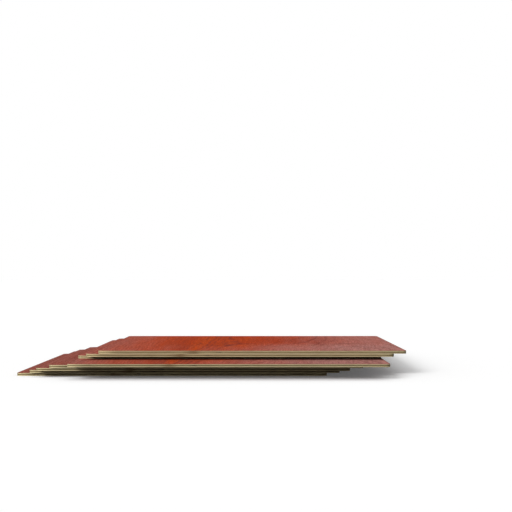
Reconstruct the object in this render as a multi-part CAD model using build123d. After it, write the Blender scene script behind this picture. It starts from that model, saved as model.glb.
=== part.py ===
# A loose stack of thin veneered plywood sheets, slid apart into a fan on a flat floor.
# Millimetres. X runs left to right, Y front to back, Z up. The origin is on the floor,
# at the middle of the stack's footprint.

import os

from build123d import *

# One sheet, a square craft panel with rounded corners
sheet_width = 300.0
sheet_length = 300.0
corner_radius = 5.0

# Lay-up of a sheet, the same from either face to the middle
face_veneer = 0.3
outer_ply = 0.7
core_ply = 1.0

# Sawn edge of a sheet
core_setback = 0.1
arris = 0.15

# How far each sheet lies from the bottom one, counted from the floor up:
# to the right in shares of the width, and to the back in shares of the length
right_shares = (0.0, 0.041, 0.071, 0.113, 0.187, 0.184, 0.219, 0.259)
back_shares = (0.0, -0.007, -0.058, -0.062, -0.170, 0.089, 0.019, 0.020)

face_layer = face_veneer + outer_ply
sheet_thickness = face_layer + core_ply + face_layer


def layer(bottom, thickness, inset):
    """One flat layer of a sheet: its outline drawn in by the inset, standing on the given height."""
    outline = RectangleRounded(sheet_width - 2 * inset, sheet_length - 2 * inset, corner_radius - inset)
    return Pos(0, 0, bottom) * extrude(outline, thickness)


def make_sheet():
    """A bonded sheet lying on the floor: two faced plies, with the core's edge a little shy between them."""
    back = layer(0, face_layer, 0)
    core = layer(face_layer, core_ply, core_setback)
    face = layer(face_layer + core_ply, face_layer, 0)
    bonded = back + core + face
    rims = bonded.edges().group_by(Axis.Z)
    return chamfer(rims[0] + rims[-1], arris)


def middle(shares):
    """The share halfway between a fan's two ends."""
    return (min(shares) + max(shares)) / 2


def make_stack():
    """The sheets by node name, each lying flat on the one below."""
    sheet = make_sheet()
    stack = {}
    for number, (right, back) in enumerate(zip(right_shares, back_shares), start=1):
        place = Pos(
            (right - middle(right_shares)) * sheet_width,
            (back - middle(back_shares)) * sheet_length,
            (number - 1) * sheet_thickness,
        )
        stack[f"sheet_{number}"] = place * sheet
    return stack


os.makedirs("parts", exist_ok=True)
for name, solid in make_stack().items():
    export_step(solid, f"parts/{name}.step")
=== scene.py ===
# Stack of thin veneered plywood sheets: the finish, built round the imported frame.
import math

import bpy
import numpy as np
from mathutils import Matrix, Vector


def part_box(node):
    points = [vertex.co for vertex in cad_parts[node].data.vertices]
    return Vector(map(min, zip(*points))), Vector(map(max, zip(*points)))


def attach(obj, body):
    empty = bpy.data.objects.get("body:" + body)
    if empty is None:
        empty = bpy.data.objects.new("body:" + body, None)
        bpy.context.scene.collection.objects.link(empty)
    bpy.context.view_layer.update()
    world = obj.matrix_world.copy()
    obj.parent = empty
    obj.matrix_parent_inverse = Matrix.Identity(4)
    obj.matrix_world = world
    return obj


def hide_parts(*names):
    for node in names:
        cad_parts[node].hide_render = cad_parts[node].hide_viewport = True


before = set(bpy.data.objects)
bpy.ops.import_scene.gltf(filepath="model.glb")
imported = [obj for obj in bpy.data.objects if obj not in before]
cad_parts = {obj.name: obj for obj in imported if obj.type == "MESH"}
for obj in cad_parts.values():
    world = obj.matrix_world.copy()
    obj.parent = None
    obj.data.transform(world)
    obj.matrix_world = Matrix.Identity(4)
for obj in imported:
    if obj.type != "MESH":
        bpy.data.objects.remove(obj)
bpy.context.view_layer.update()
scene = bpy.context.scene
scene.view_settings.view_transform = "Standard"
perMetre = 1000.0  # millimetres in a metre
sheetCount = len(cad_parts)
sheetLow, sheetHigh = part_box("sheet_1")
sheetSide = (sheetHigh[0] - sheetLow[0]) * perMetre
print("frame loaded:", sheetCount, "sheets,", round(sheetSide), "mm wide")


def linear(red, green, blue):
    # screen values 0-255 to the linear colour that a socket takes, by the standard screen curve
    share = np.array((red, green, blue)) / 255
    low, high = share / 12.92, ((share + 0.055) / 1.055) ** 2.4
    return (*np.where(share <= 0.04045, low, high).tolist(), 1.0)


# Veneer figure
figure = dict(
    # Growth lines, traced in shares of the sheet, across and then along the grain.
    # Each has its ring number, how dark it is, and the points that it runs through.
    lines=(
        (-4, 0.25, ((0.01, 0.0), (0.01, 0.35), (0.012, 0.7), (0.02, 1.0))),
        (-3, 0.25, ((0.055, 0.0), (0.058, 0.3), (0.06, 0.6), (0.075, 1.0))),
        (-2, 0.2, ((0.11, 0.0), (0.108, 0.35), (0.11, 0.7), (0.125, 1.0))),
        (-1, 0.2, ((0.165, 0.0), (0.16, 0.4), (0.165, 0.75), (0.175, 1.0))),
        (0, 0.2, ((0.215, 0.0), (0.21, 0.4), (0.205, 0.75), (0.205, 1.0))),
        (1, 0.2, ((0.255, 0.0), (0.25, 0.4), (0.24, 0.75), (0.235, 1.0))),
        (2, 0.35, ((0.31, 0.0), (0.295, 0.4), (0.28, 0.75), (0.268, 1.0))),
        (3, 1.25, ((0.316, 0.99), (0.333, 0.83), (0.343, 0.69), (0.348, 0.55), (0.345, 0.45),
                   (0.353, 0.35), (0.357, 0.21), (0.362, 0.0))),
        (4, 1.1, ((0.336, 0.99), (0.349, 0.76), (0.356, 0.64), (0.362, 0.5), (0.363, 0.42),
                  (0.370, 0.28), (0.377, 0.0))),
        (5, 0.3, ((0.356, 1.0), (0.372, 0.78), (0.385, 0.62), (0.388, 0.53), (0.395, 0.43),
                  (0.390, 0.28), (0.388, 0.15), (0.394, 0.0))),
        (6, 1.1, ((0.376, 0.993), (0.384, 0.927), (0.39, 0.828), (0.402, 0.763))),
        (6, 0.7, ((0.417, 0.716), (0.437, 0.67), (0.456, 0.631), (0.471, 0.598), (0.4875, 0.592),
                  (0.507, 0.605), (0.522, 0.622))),
        (6, 0.15, ((0.532, 0.69), (0.516, 0.80), (0.484, 0.917), (0.47, 1.0))),
        (7, 0.05, ((0.415, 1.0), (0.43, 0.86), (0.455, 0.76), (0.475, 0.71), (0.488, 0.76),
                   (0.468, 0.87), (0.445, 1.0))),
        (6, 0.35, ((0.428, 0.61), (0.415, 0.592))),
        (6, 0.75, ((0.404, 0.565), (0.402, 0.53), (0.411, 0.498), (0.423, 0.478))),
        (6, 1.2, ((0.44, 0.496), (0.453, 0.522), (0.454, 0.55))),
        (6, 0.6, ((0.443, 0.585),)),
        (6.8, 0.3, ((0.427, 0.54),)),
        (5.75, 0.6, ((0.447, 0.612),)),
        (5.45, 0.3, ((0.483, 0.45), (0.468, 0.53))),
        (6, 0.8, ((0.415, 0.0), (0.408, 0.147), (0.412, 0.215), (0.425, 0.277), (0.455, 0.302),
                  (0.483, 0.317), (0.507, 0.287), (0.541, 0.249), (0.589, 0.181))),
        (6, 0.5, ((0.635, 0.08), (0.66, 0.0))),
        (7, 0.08, ((0.435, 0.0), (0.44, 0.13), (0.46, 0.2), (0.483, 0.22), (0.515, 0.17),
                   (0.555, 0.08), (0.58, 0.0))),
        (8, 0.05, ((0.46, 0.0), (0.483, 0.10), (0.52, 0.0))),
        (5, 0.5, ((0.482, 1.0), (0.497, 0.917), (0.532, 0.80), (0.555, 0.69), (0.576, 0.58),
                  (0.606, 0.44), (0.637, 0.351), (0.67, 0.22), (0.70, 0.08))),
        (4, 0.7, ((0.495, 1.0), (0.514, 0.917), (0.575, 0.76), (0.63, 0.61), (0.678, 0.488),
                  (0.705, 0.406), (0.725, 0.30), (0.74, 0.18), (0.755, 0.0))),
        (3, 0.5, ((0.554, 0.98), (0.578, 0.917), (0.616, 0.84), (0.65, 0.78), (0.684, 0.746),
                  (0.704, 0.705), (0.722, 0.65), (0.736, 0.57), (0.752, 0.47), (0.772, 0.35),
                  (0.785, 0.2), (0.79, 0.0))),
        (2, 0.4, ((0.645, 0.985), (0.665, 0.95), (0.69, 0.93), (0.711, 0.85), (0.730, 0.74),
                  (0.745, 0.65), (0.765, 0.53), (0.79, 0.42), (0.815, 0.25), (0.825, 0.0))),
        (1, 0.4, ((0.735, 0.98), (0.75, 0.84), (0.77, 0.69), (0.80, 0.60), (0.85, 0.56),
                  (0.89, 0.60), (0.917, 0.69), (0.945, 0.82), (0.955, 0.98))),
        (0, 0.4, ((0.765, 0.95), (0.787, 0.835), (0.83, 0.78), (0.866, 0.753), (0.895, 0.79),
                  (0.917, 0.856), (0.925, 0.96))),
        (-1, 0.2, ((0.80, 0.99), (0.845, 0.89), (0.885, 0.99))),
        (1, 0.25, ((0.87, 0.0), (0.875, 0.2), (0.895, 0.35), (0.93, 0.46), (0.965, 0.6), (0.985, 0.8))),
        (0, 0.25, ((0.92, 0.0), (0.93, 0.2), (0.955, 0.35), (0.99, 0.47))),
        (-1, 0.25, ((0.975, 0.0), (0.985, 0.2))),
    ),
    stretch=0.35,         # what a length along the grain counts as, since the figure is drawn out that way
    smoothing=2e-5,       # how far the ring surface may miss a traced point
    reach=0.016,          # how far a line's darkness spreads to its neighbours
    farWeight=1e-9,       # weight that every line keeps far away, so that the mean of them holds
    heart=(0.47, 0.04, 6.0),  # place and reach across of the figure's heart, and its ring
    drift=(0.004, 0.011),     # how far the figure moves from sheet to sheet, as veneers cut in turn do
    tonesAndShade=(0.78, 0.8, 0.84, 0.8, 0.96, 0.98, 1.0, 1.04),  # each sheet's own tone, from the floor up, with the lower sheets painted darker as shade
    sheetPaintedSheen=(0.1, 0.1, 0.1, 0.1, 0.1, 0.05, 0.0, 0.0),      # each sheet's own painted sheen, from the floor up
    # Painted sheen over the face, a paler, pinker tone for reflected light: place across and strength,
    # which clears the face where it is below nothing
    paintedSheen=((0, 0.48), (0.06, 0.37), (0.14, 0.16), (0.22, 0.0), (0.28, -0.1), (0.45, -0.1),
          (0.52, -0.02), (0.6, 0.1), (0.7, 0.29), (0.8, 0.54), (0.91, 0.7), (1, 0.79)),
    # Painted sheen over the front: place and reach across, where it is full and where it ends along,
    # strength
    frontPaintedSheen=(0.63, 0.34, 0.18, 0.52, 0.46),
    rimShare=0.002,       # how near the border the face is eased and darker
    # Soft patches, darker and then more amber: place across and along, reach across and along, strength
    shade=(
        (0.27, 0.88, 0.022, 0.25, 0.32), (0.23, 0.45, 0.05, 0.4, 0.24), (0.41, 0.715, 0.014, 0.05, 0.6),
        (0.424, 0.672, 0.019, 0.04, 0.62), (0.446, 0.625, 0.017, 0.032, 0.62),
        (0.404, 0.63, 0.009, 0.06, 0.5), (0.453, 0.545, 0.008, 0.04, 0.65),
        (0.401, 0.54, 0.009, 0.05, 0.58), (0.432, 0.455, 0.018, 0.04, 0.62),
        (0.44, 0.41, 0.016, 0.05, 0.32), (0.48, 0.57, 0.025, 0.03, 0.45),
        (0.424, 0.272, 0.014, 0.03, 0.55), (0.414, 0.19, 0.008, 0.08, 0.5),
        (0.655, 0.42, 0.06, 0.14, 0.25), (0.735, 0.55, 0.016, 0.15, 0.34),
        (0.76, 0.3, 0.025, 0.15, 0.27), (0.80, 0.625, 0.014, 0.05, 0.3), (0.835, 0.575, 0.03, 0.03, 0.35),
        (0.86, 0.75, 0.02, 0.04, 0.35), (0.885, 0.86, 0.02, 0.08, 0.25), (0.03, 0.5, 0.03, 0.5, 0.2),
        (0.62, 0.35, 0.3, 0.28, 0.2),
    ),
    glow=(
        (0.315, 0.95, 0.025, 0.2, 0.4), (0.315, 0.62, 0.03, 0.3, 0.7), (0.335, 0.2, 0.032, 0.3, 0.6),
        (0.40, 0.55, 0.03, 0.3, 0.5), (0.46, 0.72, 0.04, 0.1, 0.4), (0.46, 0.37, 0.04, 0.12, 0.45),
        (0.425, 0.54, 0.012, 0.03, 0.6), (0.20, 0.3, 0.06, 0.4, 0.25), (0.49, 0.25, 0.035, 0.06, 0.15),
        (0.08, 0.5, 0.09, 0.7, 0.16),
    ),
)
nearlyNothing = 1e-12  # keeps the logarithm finite at a traced point


def ringSpline():
    # thin plate spline through the traced points: sum of weight * r^2 * log(r), plus a tilted plane
    points = np.array([point for _, _, line in figure["lines"] for point in line])
    ring = np.array([number for number, _, line in figure["lines"] for _ in line], float)
    dark = np.array([depth for _, depth, line in figure["lines"] for _ in line])
    points = points * (1.0, figure["stretch"])
    count = len(points)
    apart = ((points[:, None] - points[None]) ** 2).sum(-1) + nearlyNothing
    system = np.zeros((count + 3, count + 3))
    system[:count, :count] = 0.5 * apart * np.log(apart) + figure["smoothing"] * np.eye(count)
    system[:count, count] = 1
    system[:count, count + 1:] = points
    system[count:, :count] = system[:count, count:].T
    weight = np.linalg.solve(system, np.concatenate([ring, np.zeros(3)]))
    return points, weight, dark


splinePoints, splineWeight, splineDark = ringSpline()
print("figure worked out from", len(splinePoints), "points")


def figureAt(across, along):
    # ring number, rings per millimetre and line darkness at each place on a face;
    # the darkness is the mean of the traced lines', weighted by exp(-(distance / reach)^2 / 2)
    place = np.stack([across, along * figure["stretch"]], -1)
    step = place[:, None] - splinePoints[None]
    apart = (step ** 2).sum(-1) + nearlyNothing
    bend, plane = splineWeight[:-3], splineWeight[-2:]
    ring = splineWeight[-3] + place @ plane + (0.5 * apart * np.log(apart)) @ bend
    rise = plane + np.einsum("ij,ijk->ik", (np.log(apart) + 1) * bend, step)
    slope = np.hypot(rise[:, 0], rise[:, 1] * figure["stretch"]) / sheetSide
    near = np.exp(-apart / (2 * figure["reach"] ** 2)) + figure["farWeight"]
    return ring, slope, near @ splineDark / near.sum(1)


def patchesAt(patches, across, along):
    # sum of soft patches: strength * exp(-(offset / reach)^2) in both directions
    total = np.zeros(len(across))
    for midAcross, midAlong, reachAcross, reachAlong, strength in patches:
        offAcross = (across - midAcross) / reachAcross
        offAlong = (along - midAlong) / reachAlong
        total += strength * np.exp(-offAcross ** 2 - offAlong ** 2)
    return total


def paintedSheenAt(across, fromFront, number):
    # painted sheen: a paler, pinker tone for reflected light towards both sides, and over the front, where
    # it fades by 3 t^2 - 2 t^3
    paintedSheen = np.interp(across, *np.transpose(figure["paintedSheen"])) + figure["sheetPaintedSheen"][number - 1]
    frontAt, frontReach, frontFull, frontNone, frontSheenStrength = figure["frontPaintedSheen"]
    fade = np.clip((frontNone - fromFront) / (frontNone - frontFull), 0, 1)
    fade = fade ** 2 * (3 - 2 * fade)
    return paintedSheen + frontSheenStrength * np.exp(-((across - frontAt) / frontReach) ** 2) * fade


def figureValues(faceMap, gridCount, number):
    # figure at each point of both faces, its top towards the front, and turned over on the underside
    across, along = faceMap[:, 0].copy(), 1 - faceMap[:, 1]
    across[gridCount:2 * gridCount] = 1 - across[gridCount:2 * gridCount]
    driftAcross, driftAlong = figure["drift"]
    stepsDown = number - sheetCount
    across, along = across + driftAcross * stepsDown, along + driftAlong * stepsDown
    ring, slope, dark = figureAt(across, along)
    # lean of the fine grain: rings counted outwards from the heart, less than none on its left
    heartAt, heartReach, heartRing = figure["heart"]
    lean = (heartRing - ring) * np.tanh((across - heartAt) / heartReach)
    # rim: one at the face's border, nothing a cell further in
    borderOff = np.minimum(faceMap, 1 - faceMap).min(-1)
    return dict(
        ring=ring,
        ringSlope=slope,
        lineDark=dark,
        lean=lean,
        amber=patchesAt(figure["glow"], across, along),
        # painted sheen, a paler, pinker tone for reflected light
        paintedSheen=paintedSheenAt(across, faceMap[:, 1], number),
        shade=patchesAt(figure["shade"], across, along),
        rim=np.where(borderOff < figure["rimShare"], 1.0, 0.0),
        # each sheet's own tone, the lower sheets painted darker as shade
        ownToneAndShade=np.full(len(faceMap), figure["tonesAndShade"][number - 1]),
    )


# Sheet, in metres unless a note says otherwise
sheet = dict(
    cornerRadius=0.005,
    columns=120,           # faces across the grain
    rows=116,              # faces along the grain, between the corners
    cornerRows=6,          # faces along the grain in each rounded corner
    hairline=0.00001,      # left above and below, so that faces never share a plane
    # Edge profile from the face down to the middle: share of the thickness, millimetres drawn in
    profile=((1.0, 0.28), (0.992, 0.15), (0.975, 0.065), (0.945, 0.015), (0.90, 0.0), (0.78, 0.012),
             (0.685, 0.018), (0.667, 0.06), (0.65, 0.105), (0.58, 0.092), (0.5, 0.1)),
    core=(0.34, 0.66),         # shares of the thickness that the core lies between
    roughness=(0.012, 0.03),   # millimetres that the sawn edge wanders: outer plies, core
    seed=40,                   # first of the numbers that the random draws start from
    gapPlace=0.378,            # where the core has a small open gap, in shares of the front edge
    gapScatter=0.002,          # how far the gap is moved from sheet to sheet
    gapLength=0.0016,
    gapDepth=0.55,             # millimetres
    stainPlace=0.295,          # where the edge has a brown stain, in shares of the front edge
    stainScatter=0.004,        # how far the stain is moved from sheet to sheet
    stainReach=0.0055,
    stainStrength=0.8,
    paintedHighlightReach=0.008,          # how far the painted highlight on the edge runs from the front left corner
    mapStep=3,                 # sides between the maps of two sheets, so that their fine patterns differ
    undersideStep=1.5,         # sides between the maps of a sheet's face and its underside
)


def outline(width, length):
    # path round the sheet: the middle line of the corner arcs and the outward direction at each step;
    # any edge lies at middle line + outward * (corner radius - inset)
    radius, columns = sheet["cornerRadius"], sheet["columns"]
    halfX, halfY = width / 2 - radius, length / 2 - radius
    turn = np.linspace(0, math.pi / 2, sheet["cornerRows"] + 1)
    # one side from front to back: front arc, straight run, back arc
    straight = np.linspace(-halfY, halfY, sheet["rows"] + 1)
    arcY = np.full(sheet["cornerRows"], halfY)
    sideY = np.concatenate([-arcY, straight, arcY])
    sideTurn = np.concatenate([-turn[:0:-1], np.zeros(sheet["rows"] + 1), turn[1:]])
    acrossX = np.linspace(-halfX, halfX, columns + 1)
    front = np.stack([acrossX, np.full(columns + 1, -halfY)], -1)
    right = np.stack([np.full(len(sideY), halfX), sideY], -1)
    frontOut = np.tile((0.0, -1.0), (columns + 1, 1))
    rightOut = np.stack([np.cos(sideTurn), np.sin(sideTurn)], -1)
    middle = np.concatenate([front[:-1], right[:-1], -front[:-1], -right[:-1]])
    outward = np.concatenate([frontOut[:-1], rightOut[:-1], -frontOut[:-1], -rightOut[:-1]])
    return middle, outward


def sawnEdge(low, high, number):
    # edge profile carried round the outline: one ring of points for each height, from the face down
    draw = np.random.default_rng(sheet["seed"] + number)
    width, length, _ = high - low
    radius, hairline = sheet["cornerRadius"], sheet["hairline"]
    middle, outward = outline(width, length)
    upperHalf = np.array(sheet["profile"])
    profile = np.concatenate([upperHalf, upperHalf[-2::-1] * (-1, 1) + (1, 0)])
    heights, insets = profile[:, 0], profile[:, 1] / perMetre
    coreLow, coreHigh = sheet["core"]
    inCore = (heights > coreLow) & (heights < coreHigh)

    # distance along the outline, starting at the front left corner
    rim = middle + outward * radius
    stride = np.hypot(*(np.roll(rim, -1, 0) - rim).T)
    distance = np.concatenate([[0], np.cumsum(stride)])

    # wandering of the sawn edge: smoothed random steps, more in the core
    wander = draw.normal(size=(len(profile), len(middle)))
    wander = (wander + np.roll(wander, 1, 1) + np.roll(wander, -1, 1)) / 3
    outerRough, coreRough = sheet["roughness"]
    wander *= np.where(inCore, coreRough, outerRough)[:, None] / perMetre
    wander[[0, -1]] = 0
    # small open gap in the core: depth * exp(-(offset / length)^2)
    gapAt = sheet["gapPlace"] * width + draw.uniform(-sheet["gapScatter"], sheet["gapScatter"])
    gap = np.exp(-((distance[:-1] - gapAt) / sheet["gapLength"]) ** 2)
    wander += np.where(inCore, sheet["gapDepth"] / perMetre, 0)[:, None] * gap
    inset = np.maximum(insets[:, None] + wander, 0)
    stainAt = sheet["stainPlace"] * width + draw.uniform(-sheet["stainScatter"], sheet["stainScatter"])

    ringXY = middle[None] + outward[None] * (radius - inset)[..., None] + (low + high)[:2] / 2
    bottom, top = low[2] + hairline, high[2] - hairline
    ringZ = np.broadcast_to((bottom + heights * (top - bottom))[:, None], inset.shape)
    return dict(
        rings=np.concatenate([ringXY, ringZ[..., None]], -1),
        heights=heights,
        distance=distance,
        outward=outward,
        inCore=inCore,
        gap=gap,
        stainAt=stainAt,
    )


def quads(*corners):
    # four-sided faces from four arrays of points
    return np.stack(corners, -1).reshape(-1, 4)


def sheetSurface(rings):
    # closed surface: two face grids, whose rows run straight from side to side, and the rings between
    columns, rows = sheet["columns"], sheet["rows"] + 2 * sheet["cornerRows"]
    ringCount, count = rings.shape[:2]
    rightSide = rings[0, columns:columns + rows + 1]
    leftSide = rings[0, np.r_[0, count - 1:count - rows - 1:-1]]
    share = np.linspace(0, 1, columns + 1)[None, :, None]
    topGrid = leftSide[:, None] * (1 - share) + rightSide[:, None] * share
    bottomGrid = topGrid.copy()
    bottomGrid[..., 2] = rings[-1, 0, 2]
    vertices = np.concatenate([part.reshape(-1, 3) for part in (topGrid, bottomGrid, rings[1:-1])])

    index = np.arange((rows + 1) * (columns + 1)).reshape(rows + 1, columns + 1)
    border = np.concatenate([index[0, :-1], index[:-1, -1], index[-1, :0:-1], index[:0:-1, 0]])
    between = 2 * index.size + np.arange((ringCount - 2) * count).reshape(-1, count)
    ringIndex = np.concatenate([border[None], between, (border + index.size)[None]])
    nextIndex = np.roll(ringIndex, -1, 1)
    topFaces = quads(index[:-1, :-1], index[:-1, 1:], index[1:, 1:], index[1:, :-1])
    bottomFaces = topFaces[:, ::-1] + index.size
    edgeFaces = quads(ringIndex[1:], nextIndex[1:], nextIndex[:-1], ringIndex[:-1])
    return vertices, np.concatenate([topFaces, bottomFaces]), edgeFaces


def sheetMap(faceMap, flatFaces, sawn, number):
    # map of the sheet: on a face, shares across and along; on the edge, metres round and height share
    flatMap = faceMap[flatFaces]
    flatMap[len(flatFaces) // 2:, :, 0] += sheet["undersideStep"]
    heights, distance = sawn["heights"], sawn["distance"]
    shape = (len(heights) - 1, len(distance) - 1)
    behind, ahead = (np.broadcast_to(part, shape) for part in (distance[:-1], distance[1:]))
    upper, lower = (np.broadcast_to(part[:, None], shape) for part in (heights[:-1], heights[1:]))
    roundEdge = np.stack([behind, ahead, ahead, behind], -1)
    upEdge = np.stack([lower, lower, upper, upper], -1)
    edgeMap = np.stack([roundEdge, upEdge], -1).reshape(-1, 4, 2)
    loopMap = np.concatenate([flatMap, edgeMap])
    loopMap[..., 0] += sheet["mapStep"] * number
    return loopMap


def edgeValues(sawn):
    # stain, and painted highlight at the front left corner: exp(-(distance along the outline / reach)^2);
    # painted shade in the core's gap; flank: how far the edge faces sideways
    between = len(sawn["heights"]) - 2
    along = np.tile(sawn["distance"][:-1], between)
    cornerOff = np.minimum(along, sawn["distance"][-1] - along)
    return dict(
        stain=sheet["stainStrength"] * np.exp(-((along - sawn["stainAt"]) / sheet["stainReach"]) ** 2),
        # painted highlight, lighter towards the front left corner
        paintedHighlight=np.exp(-(cornerOff / sheet["paintedHighlightReach"]) ** 2),
        flank=np.tile(np.abs(sawn["outward"][:, 0]), between),
        # painted shade in the core's open gap
        gapShade=np.tile(sawn["gap"], between) * np.repeat(sawn["inCore"][1:-1], len(sawn["gap"])),
    )


def sheetMesh(name, number):
    # closed mesh of one sheet, with its map, its figure and its edge's values
    low, high = (np.array(corner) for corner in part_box(name))
    sawn = sawnEdge(low, high, number)
    vertices, flatFaces, edgeFaces = sheetSurface(sawn["rings"])
    faces = np.concatenate([flatFaces, edgeFaces])
    isEdge = np.repeat([False, True], [len(flatFaces), len(edgeFaces)])

    mesh = bpy.data.meshes.new(name + "_veneered")
    mesh.vertices.add(len(vertices))
    mesh.vertices.foreach_set("co", vertices.astype(np.float32).ravel())
    mesh.loops.add(faces.size)
    mesh.loops.foreach_set("vertex_index", faces.astype(np.int32).ravel())
    mesh.polygons.add(len(faces))
    mesh.polygons.foreach_set("loop_start", np.arange(0, faces.size, 4, dtype=np.int32))
    mesh.polygons.foreach_set("material_index", isEdge.astype(np.int32))
    mesh.update(calc_edges=True)
    mesh.polygons.foreach_set("use_smooth", isEdge)

    faceMap = (vertices[:, :2] - low[:2]) / (high - low)[:2]
    loopMap = sheetMap(faceMap, flatFaces, sawn, number)
    mesh.uv_layers.new(name="sheetMap").uv.foreach_set("vector", loopMap.astype(np.float32).ravel())
    flatCount = flatFaces.max() + 1  # points on the two faces, which come first
    values = figureValues(faceMap, flatCount // 2, number)
    for label, edgeOnly in edgeValues(sawn).items():
        values[label] = np.concatenate([np.zeros(flatCount), edgeOnly])
    for label, value in values.items():
        mesh.attributes.new(label, "FLOAT", "POINT").data.foreach_set("value", value.astype(np.float32))
    return mesh


# Node helpers
def feed(tree, node, inputs):
    # links or sets a node's sockets, which go by name or number
    for socket, value in inputs.items():
        if isinstance(value, bpy.types.NodeSocket):
            tree.links.new(value, node.inputs[socket])
        else:
            node.inputs[socket].default_value = value


def addNode(tree, kind, inputs, **settings):
    node = tree.nodes.new("ShaderNode" + kind)
    for setting, value in settings.items():
        setattr(node, setting, value)
    feed(tree, node, inputs)
    return node


def maths(tree, operation, *values, clamp=False):
    return addNode(tree, "Math", dict(enumerate(values)), operation=operation, use_clamp=clamp).outputs[0]


def plus(tree, first, second):
    return maths(tree, "ADD", first, second)


def times(tree, first, second, clamp=False):
    return maths(tree, "MULTIPLY", first, second, clamp=clamp)


def timesPlus(tree, value, factor, added):
    return maths(tree, "MULTIPLY_ADD", value, factor, added)


def aroundOne(tree, noise, contrast):
    # one at the noise's middle, and half the contrast more or less at its ends
    return timesPlus(tree, noise, contrast, 1 - contrast / 2)


def aroundNone(tree, noise, spread):
    # nothing at the noise's middle, and half the spread more or less at its ends
    return timesPlus(tree, noise, spread, -spread / 2)


def mapRange(tree, value, fromLow, fromHigh, toLow, toHigh, smooth=True):
    curve = "SMOOTHSTEP" if smooth else "LINEAR"
    sockets = dict(enumerate((value, fromLow, fromHigh, toLow, toHigh)))
    return addNode(tree, "MapRange", sockets, interpolation_type=curve, clamp=True).outputs[0]


def mixColour(tree, factor, first, second):
    # the factor is held between nothing and one
    sockets = {0: factor, 6: first, 7: second}  # a colour mix takes these of the node's sockets
    return addNode(tree, "Mix", sockets, data_type="RGBA", clamp_factor=True).outputs[2]


def mixValue(tree, factor, first, second):
    return addNode(tree, "Mix", {0: factor, 2: first, 3: second}, data_type="FLOAT").outputs[0]


def scaleColour(tree, colour, factor):
    return addNode(tree, "VectorMath", {0: colour, 3: factor}, operation="SCALE").outputs[0]


def attribute(tree, name):
    return addNode(tree, "Attribute", {}, attribute_name=name).outputs["Fac"]


def streakNoise(tree, place, acrossScale, alongScale, detail, roughness):
    # noise drawn out along the grain: a feature is 1 / acrossScale wide and 1 / alongScale long
    scaled = addNode(tree, "Mapping", {"Vector": place, "Scale": (acrossScale, alongScale, 1.0)})
    sockets = {"Vector": scaled.outputs[0], "Scale": 1.0, "Detail": detail, "Roughness": roughness}
    return addNode(tree, "TexNoise", sockets, noise_dimensions="2D").outputs[0]


def bumpNormal(tree, finish, height):
    # relief of a finish, by its own strength and depth
    sockets = {"Strength": finish["bump"], "Distance": finish["relief"], "Height": height}
    return addNode(tree, "Bump", sockets).outputs[0]


def newMaterial(name):
    material = bpy.data.materials.new(name)
    material.use_nodes = True
    return material, material.node_tree, material.node_tree.nodes["Principled BSDF"]


def sheetPlace(tree):
    return addNode(tree, "UVMap", {}, uv_map="sheetMap").outputs[0]


# Face veneer
veneer = dict(
    base=linear(170, 60, 21),
    amber=linear(188, 72, 15),
    # paler, pinker tone of the painted sheen, which stands in for reflected light
    paintedSheenTone=linear(168, 116, 108),
    line=linear(92, 40, 38),
    pore=linear(96, 38, 26),
    # Noises: millimetres wide and long, detail, roughness; the slow ones lie straight along the sheet,
    # and the fine ones sway and lean with the grain
    slowNoises=dict(sway=(26, 60, 1, 0.5), broad=(12, 120, 3, 0.5), fade=(30, 45, 2, 0.5)),
    fineNoises=dict(band=(3.2, 70, 3, 0.5), fibre=(0.6, 16, 3, 0.6), strand=(1.8, 40, 2, 0.6),
                    dash=(1.3, 6.5, 2, 0.55), pore=(1.0, 12, 1, 0.5)),
    sway=6.0,             # millimetres that the grain sways over
    lean=5.0,             # millimetres that the fine grain is drawn aside by each ring
    wobble=dict(broad=0.24, dash=0.16),      # rings that a line wobbles over
    leastSlope=0.03,      # rings per millimetre, so that no line grows too wide
    lineWidth=1.5,        # millimetres, where the face is clearest
    lineSpread=1.8,       # how much wider a line is where the face has painted sheen
    halo=(5.0, 0.22),     # millimetres that a line's shade reaches, and its strength
    lineFade=(0.35, 0.6, 0.6, 1.0),          # noise from and to, and what is left of a line there
    lineBreak=(0.9, 0.4),                    # how the fibres break up a line: factor, offset
    lineStrength=0.62,
    fineRings=4.0,        # faint growth lines to each ring
    fineSharpness=4.0,
    fineBreak=(1.4, 0.1),                    # how the fibres break up a faint line: factor, offset
    fineStrength=(-1.5, 0.5, 0.4, 0.14),     # rings left and right of the heart, and the strength there
    shadeStrength=0.66,
    paintedSheenScatter=dict(broad=0.36, dash=0.5),  # how uneven the painted sheen is
    amberBreak=(1.1, 0.25),                  # how the bands break up an amber patch: factor, offset
    contrast=dict(band=0.4, dash=0.95, fibre=0.4, strand=0.8),  # how far each noise moves the tone
    poreRange=(0.56, 0.72),                  # noise at which a pore begins and is full
    poreStrength=0.3,
    poreDepth=0.6,        # against the dashes' height
    rimStrength=0.55,
    rimSharpness=3.0,
    roughness=(0.6, 0.74),  # open face, pore
    specular=0.001,
    relief=0.00006,       # metres
    bump=0.6,
)


def veneerNoises(tree, place, sizes):
    noises = {}
    for name, (width, length, detail, roughness) in sizes.items():
        noises[name] = streakNoise(tree, place, sheetSide / width, sheetSide / length, detail, roughness)
    return noises


def leaningPlace(tree, place, sway):
    # the map moved across the grain by a slow sway, and by the lean of the growth rings
    moved = aroundNone(tree, sway, veneer["sway"] / sheetSide)
    moved = timesPlus(tree, attribute(tree, "lean"), veneer["lean"] / sheetSide, moved)
    moved = addNode(tree, "CombineXYZ", {0: moved}).outputs[0]
    return addNode(tree, "VectorMath", {0: place, 1: moved}, operation="ADD").outputs[0]


def uneven(tree, value, noises, spreads):
    # value + spread * (noise - 1/2), for each noise named
    for name, spread in spreads.items():
        value = plus(tree, value, aroundNone(tree, noises[name], spread))
    return value


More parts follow.
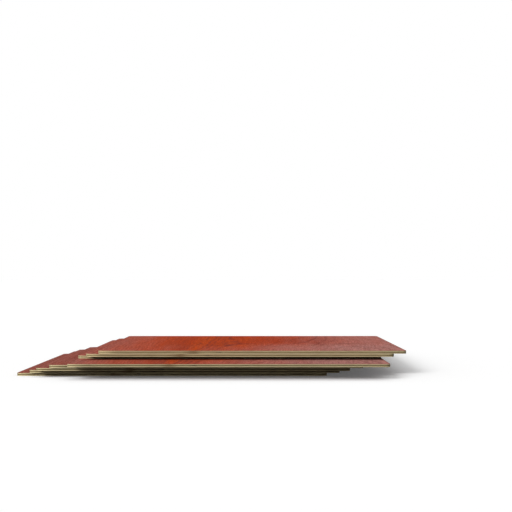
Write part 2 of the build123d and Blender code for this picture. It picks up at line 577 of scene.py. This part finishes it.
def ringLines(tree, ring, noises):
    # growth lines by the distance to the nearest whole ring: (rings away / rings per millimetre) / spread
    off = maths(tree, "ABSOLUTE", maths(tree, "SUBTRACT", ring, maths(tree, "ROUND", ring)))
    slope = maths(tree, "MAXIMUM", attribute(tree, "ringSlope"), veneer["leastSlope"])
    # lines are wider where the face has painted sheen
    spread = timesPlus(tree, attribute(tree, "paintedSheen"), veneer["lineSpread"], 1.0)
    off = maths(tree, "DIVIDE", maths(tree, "DIVIDE", off, slope), spread)
    haloReach, haloStrength = veneer["halo"]
    line = mapRange(tree, off, 0.0, veneer["lineWidth"], 1.0, 0.0)
    line = plus(tree, line, mapRange(tree, off, 0.0, haloReach, haloStrength, 0.0))
    line = times(tree, line, attribute(tree, "lineDark"))
    # a line fades and comes back along its length, and the fibres break it up
    line = times(tree, line, mapRange(tree, noises["fade"], *veneer["lineFade"]))
    return times(tree, line, timesPlus(tree, noises["fibre"], *veneer["lineBreak"]), clamp=True)


def fineLines(tree, ring, noises):
    # faint growth lines between the traced ones: fraction of (ring * lines to a ring), raised to a power
    fine = maths(tree, "FRACT", times(tree, ring, veneer["fineRings"]))
    fine = maths(tree, "POWER", fine, veneer["fineSharpness"])
    fine = times(tree, fine, timesPlus(tree, noises["fibre"], *veneer["fineBreak"]), clamp=True)
    return times(tree, fine, mapRange(tree, attribute(tree, "lean"), *veneer["fineStrength"]))


def groundColour(tree, noises):
    # colour between the lines: base, painted sheen and amber mixed, times the sheet's own tone with its
    # painted shade, and each noise's
    # painted sheen: the base mixed towards a paler, pinker tone for reflected light
    paintedSheen = uneven(tree, attribute(tree, "paintedSheen"), noises, veneer["paintedSheenScatter"])
    colour = mixColour(tree, paintedSheen, veneer["base"], veneer["paintedSheenTone"])
    amber = times(tree, attribute(tree, "amber"), timesPlus(tree, noises["band"], *veneer["amberBreak"]))
    colour = mixColour(tree, amber, colour, veneer["amber"])
    # the sheet's own tone, darker on the lower sheets as painted shade
    tone = attribute(tree, "ownToneAndShade")
    for name, contrast in veneer["contrast"].items():
        tone = times(tree, tone, aroundOne(tree, noises[name], contrast))
    return scaleColour(tree, colour, tone)


def veneerMaterial():
    material, tree, shader = newMaterial("red_brown_veneer")
    plain = sheetPlace(tree)
    noises = veneerNoises(tree, plain, veneer["slowNoises"])
    leaning = leaningPlace(tree, plain, noises["sway"])
    noises.update(veneerNoises(tree, leaning, veneer["fineNoises"]))

    ring = uneven(tree, attribute(tree, "ring"), noises, veneer["wobble"])
    shade = attribute(tree, "shade")
    darkness = timesPlus(tree, shade, veneer["shadeStrength"], fineLines(tree, ring, noises))
    darkness = timesPlus(tree, ringLines(tree, ring, noises), veneer["lineStrength"], darkness)
    pores = mapRange(tree, noises["pore"], *veneer["poreRange"], 0.0, 1.0)
    rim = maths(tree, "POWER", attribute(tree, "rim"), veneer["rimSharpness"])
    colour = groundColour(tree, noises)
    colour = mixColour(tree, darkness, colour, veneer["line"])
    colour = mixColour(tree, times(tree, pores, veneer["poreStrength"]), colour, veneer["pore"])
    colour = mixColour(tree, times(tree, rim, veneer["rimStrength"]), colour, veneer["line"])

    height = timesPlus(tree, pores, -veneer["poreDepth"], noises["dash"])
    feed(tree, shader, {
        "Base Color": colour,
        "Roughness": mapRange(tree, pores, 0.0, 1.0, *veneer["roughness"], smooth=False),
        "Specular IOR Level": veneer["specular"],
        "Normal": bumpNormal(tree, veneer, height),
    })
    return material


# Sawn edge
edge = dict(
    veneer=linear(82, 38, 27),
    pale=linear(166, 154, 119),
    core=linear(93, 79, 50),
    glue=linear(70, 55, 34),
    streak=linear(84, 57, 30),
    # painted shade in the core's open gap
    gapShade=linear(38, 27, 18),
    # Layers from the underside up: share of the thickness, colour there
    layers=((0.0, "veneer"), (0.045, "veneer"), (0.07, "pale"), (0.315, "pale"), (0.335, "glue"),
            (0.36, "core"), (0.64, "core"), (0.665, "glue"), (0.685, "pale"), (0.93, "pale"),
            (0.955, "veneer"), (1.0, "veneer")),
    coreBand=(0.5, 1 / 6),  # middle and half of the core, in shares of the thickness
    # Noises: features to a metre round the edge and to the thickness, detail, roughness
    noises=dict(wave=(70.0, 1.0, 3, 0.5), patch=(45.0, 3.0, 2, 0.5), grain=(130.0, 22.0, 4, 0.6),
                speck=(2600.0, 8.0, 2, 0.5)),
    wave=0.09,            # share of the thickness that the ply lines wander over
    endContrast=0.7,      # how far the specks of end grain move the tone
    longContrast=0.6,     # how far the streaks of long grain move it
    patchContrast=0.4,
    paintedHighlight=0.6,            # how much lighter the painted highlight makes the front left corner
    stainBreak=(2.6, -0.6),  # how the grain breaks up the stain: factor, offset
    gapShadeStrength=1.3,
    roughness=0.78,
    specular=0.2,
    relief=0.0001,        # metres
    bump=0.5,
)


def plyLayers(tree, height, wave):
    # ramp through the thickness; its lines wander by wave * h * (4 - 4 h), so not at all at the two faces
    inward = times(tree, height, timesPlus(tree, height, -4.0, 4.0))
    wandered = timesPlus(tree, aroundNone(tree, wave, edge["wave"]), inward, height)
    ramp = addNode(tree, "ValToRGB", {"Fac": wandered})
    elements = ramp.color_ramp.elements  # a new ramp has one at each end
    for position, _ in edge["layers"][1:-1]:
        elements.new(position)
    for element, (_, layer) in zip(elements, edge["layers"]):
        element.color = edge[layer]
    return ramp.outputs[0]


def edgeMaterial():
    material, tree, shader = newMaterial("sawn_ply_edge")
    place = sheetPlace(tree)
    height = addNode(tree, "SeparateXYZ", {0: place}).outputs[1]
    noises = {name: streakNoise(tree, place, *size) for name, size in edge["noises"].items()}
    grain, speck = noises["grain"], noises["speck"]
    # outer plies show end grain in front and behind and long grain on the flanks, and the core the reverse
    inCore = maths(tree, "COMPARE", height, *edge["coreBand"])
    longGrain = maths(tree, "ABSOLUTE", maths(tree, "SUBTRACT", attribute(tree, "flank"), inCore))
    endTone = aroundOne(tree, speck, edge["endContrast"])
    longTone = aroundOne(tree, grain, edge["longContrast"])
    tone = mixValue(tree, longGrain, endTone, longTone)
    tone = times(tree, tone, aroundOne(tree, noises["patch"], edge["patchContrast"]))
    # painted highlight towards the front left corner
    tone = times(tree, tone, timesPlus(tree, attribute(tree, "paintedHighlight"), edge["paintedHighlight"], 1.0))
    stain = times(tree, attribute(tree, "stain"), timesPlus(tree, grain, *edge["stainBreak"]))
    # painted shade in the core's open gap
    gapShade = times(tree, attribute(tree, "gapShade"), edge["gapShadeStrength"])
    colour = scaleColour(tree, plyLayers(tree, height, noises["wave"]), tone)
    colour = mixColour(tree, stain, colour, edge["streak"])
    colour = mixColour(tree, gapShade, colour, edge["gapShade"])

    relief = mixValue(tree, longGrain, speck, grain)
    feed(tree, shader, {
        "Base Color": colour,
        "Roughness": edge["roughness"],
        "Specular IOR Level": edge["specular"],
        "Normal": bumpNormal(tree, edge, relief),
    })
    return material


finishes = (veneerMaterial(), edgeMaterial())
print("finishes made:", ", ".join(finish.name for finish in finishes))

for number in range(1, sheetCount + 1):
    nodeName = f"sheet_{number}"
    mesh = sheetMesh(nodeName, number)
    for finish in finishes:
        mesh.materials.append(finish)
    piece = bpy.data.objects.new(f"plywood_sheet_{number}", mesh)
    scene.collection.objects.link(piece)
    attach(piece, "root")
    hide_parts(nodeName)
print("sheets finished:", len(piece.data.polygons), "faces on each")

white = (1.0, 1.0, 1.0, 1.0)


def seenDirectly(tree):
    # one for what the camera sees, also in gloss or glass, and nothing for light thrown between surfaces
    path = addNode(tree, "LightPath", {})
    seen = maths(tree, "MAXIMUM", path.outputs["Is Camera Ray"], path.outputs["Is Glossy Ray"])
    return maths(tree, "MAXIMUM", seen, path.outputs["Is Transmission Ray"])


# Floor: white to the eye with a light shadow, and darker in the light that it throws back
floor = dict(
    reach=40.0,           # metres to each side
    seen=0.98,
    thrown=0.16,
    glow=0.09,
    roughness=0.9,
    specular=0.0,
)


def floorMaterial():
    material, tree, shader = newMaterial("pale_floor")
    seen = seenDirectly(tree)
    tone = mapRange(tree, seen, 0.0, 1.0, floor["thrown"], floor["seen"], smooth=False)
    feed(tree, shader, {
        "Base Color": addNode(tree, "CombineColor", {0: tone, 1: tone, 2: tone}).outputs[0],
        "Emission Color": white,
        "Emission Strength": times(tree, seen, floor["glow"]),
        "Roughness": floor["roughness"],
        "Specular IOR Level": floor["specular"],
    })
    return material


floorMesh = bpy.data.meshes.new("floor")
left, right = -floor["reach"], floor["reach"]
floorCorners = [(left, left, 0), (right, left, 0), (right, right, 0), (left, right, 0)]
floorMesh.from_pydata(floorCorners, [], [(0, 1, 2, 3)])
floorMesh.materials.append(floorMaterial())
floorObject = bpy.data.objects.new("floor", floorMesh)
scene.collection.objects.link(floorObject)

# Light: white surroundings, a soft key from the front left and a softer, lower fill from the front
light = dict(
    surround=0.56,
    lamps=dict(
        key=dict(strength=2.1, spread=25.0, place=(-0.7, -1.0, 0.6)),  # spread in degrees
        fill=dict(strength=0.8, spread=40.0, place=(-0.45, -1.0, 0.36)),
    ),
    target=(0.0, 0.0, 0.0),
)
world = bpy.data.worlds.new("studio")
world.use_nodes = True
scene.world = world
sky = world.node_tree
skyStrength = mapRange(sky, seenDirectly(sky), 0.0, 1.0, light["surround"], 1.0, smooth=False)
feed(sky, sky.nodes["Background"], {"Color": white, "Strength": skyStrength})


def aim(thing, place, target):
    # turns a lamp or camera at a place so that it looks at the target
    thing.location = place
    thing.rotation_euler = (Vector(target) - Vector(place)).to_track_quat("-Z", "Y").to_euler()


for lampName, setting in light["lamps"].items():
    lampData = bpy.data.lights.new(lampName, "SUN")
    lampData.energy = setting["strength"]
    lampData.angle = math.radians(setting["spread"])
    lamp = bpy.data.objects.new(lampName, lampData)
    scene.collection.objects.link(lamp)
    aim(lamp, setting["place"], light["target"])

# Camera: the photo's own place, heading and lens
view = dict(
    focalPixels=1243.0,   # the lens's length in pixels of the photo
    pixels=512.0,         # the photo's width
    sensor=36.0,          # millimetres
    target=(0.0425, 0.0, 0.012),  # on the stack, which the camera's place is measured from
    distance=1.342,
    elevation=3.58,       # degrees
    aimHeight=0.1181,     # height above the floor that the camera looks at
)
cameraData = bpy.data.cameras.new("camera")
cameraData.sensor_width = view["sensor"]
cameraData.lens = view["focalPixels"] / view["pixels"] * view["sensor"]
cameraObject = bpy.data.objects.new("camera", cameraData)
scene.collection.objects.link(cameraObject)
rise = math.radians(view["elevation"])
targetX, targetY, targetZ = view["target"]
cameraY = targetY - view["distance"] * math.cos(rise)
cameraZ = targetZ + view["distance"] * math.sin(rise)
aim(cameraObject, (targetX, cameraY, cameraZ), (targetX, targetY, view["aimHeight"]))
scene.camera = cameraObject
print("floor, light and camera set")
